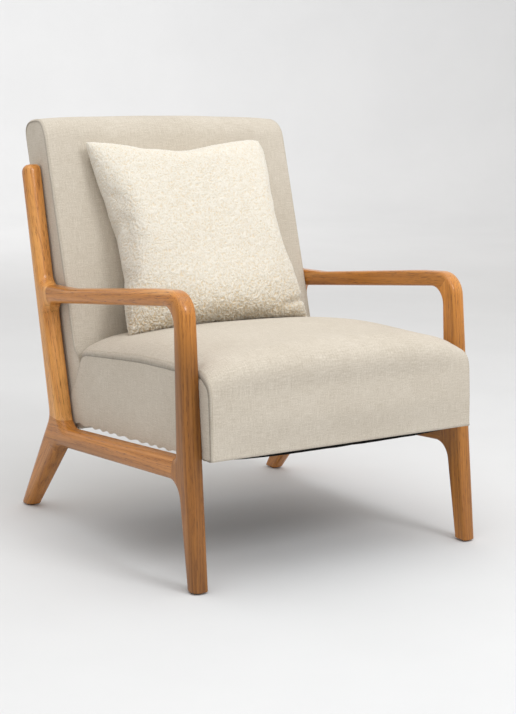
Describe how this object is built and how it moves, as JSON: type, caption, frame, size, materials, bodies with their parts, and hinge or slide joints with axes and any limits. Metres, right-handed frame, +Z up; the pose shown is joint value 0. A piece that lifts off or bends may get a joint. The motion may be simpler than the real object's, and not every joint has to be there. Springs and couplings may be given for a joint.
{
  "type": "wooden armchair",
  "caption": "Low open-sided armchair: sculpted oak side frames with splayed legs, thick fabric seat and raked back, and a loose scatter cushion.",
  "frame": {"origin": "On the floor, at the middle of the chair's footprint.", "axes": "+Z up. The sitter faces -Y. +X is to the sitter's left."},
  "size_m": [0.6562, 0.746, 0.8012],
  "materials": {
    "oak": "clear satin varnish over solid oak",
    "tenon_wood": "plain beech loose tenons",
    "frame_timber": "rough sawn timber, hidden",
    "linen": "fine plain-weave linen look upholstery",
    "boucle": "looped boucle knit",
    "foam": "cut polyurethane foam with wadding, hidden",
    "felt": "needled felt, hidden",
    "webbing": "elastic webbing, hidden",
    "dust_cloth": "black non-woven cloth",
    "spring_steel": "oiled spring wire, hidden",
    "steel": "zinc plated bolts, hidden",
    "glide_felt": "pressed felt glides"
  },
  "bodies": {
    "chair": {"left_corner_tenon": "tenon_wood", "left_elbow_tenon": "tenon_wood", "left_knuckle_tenon": "tenon_wood", "left_shoulder_tenon": "tenon_wood", "left_hip_tenon": "tenon_wood", "left_armrest": "oak", "left_back_post": "oak", "left_side_rail": "oak", "left_front_leg": "oak", "left_rear_leg": "oak", "right_corner_tenon": "tenon_wood", "right_elbow_tenon": "tenon_wood", "right_knuckle_tenon": "tenon_wood", "right_shoulder_tenon": "tenon_wood", "right_hip_tenon": "tenon_wood", "right_armrest": "oak", "right_back_post": "oak", "right_side_rail": "oak", "right_front_leg": "oak", "right_rear_leg": "oak", "seat_frame_front_rail": "frame_timber", "seat_frame_rear_rail": "frame_timber", "seat_frame_left_rail": "frame_timber", "seat_frame_right_rail": "frame_timber", "seat_spring_1": "spring_steel", "seat_spring_2": "spring_steel", "seat_spring_3": "spring_steel", "seat_spring_4": "spring_steel", "spring_cover": "felt", "seat_foam": "foam", "seat_top_panel": "linen", "seat_left_side_panel": "linen", "seat_right_side_panel": "linen", "seat_dust_cover": "dust_cloth", "back_frame_left_stile": "frame_timber", "back_left_side_panel": "linen", "back_frame_right_stile": "frame_timber", "back_right_side_panel": "linen", "back_frame_bottom_rail": "frame_timber", "back_frame_top_rail": "frame_timber", "back_webbing_1": "webbing", "back_webbing_2": "webbing", "back_webbing_3": "webbing", "back_foam": "foam", "back_front_panel": "linen", "back_rear_panel": "linen", "left_front_lower_bolt": "steel", "left_front_upper_bolt": "steel", "left_rear_lower_bolt": "steel", "left_rear_upper_bolt": "steel", "left_front_glide": "glide_felt", "left_rear_glide": "glide_felt", "right_front_lower_bolt": "steel", "right_front_upper_bolt": "steel", "right_rear_lower_bolt": "steel", "right_rear_upper_bolt": "steel", "right_front_glide": "glide_felt", "right_rear_glide": "glide_felt"},
    "cushion": {"scatter_cushion": "boucle"}
  },
  "joints": [
    {"name": "scatter_cushion_lift", "type": "slide", "parent": "chair", "child": "cushion", "axis": [0, 0, 1], "range_m": [0, 0.5]}
  ]
}
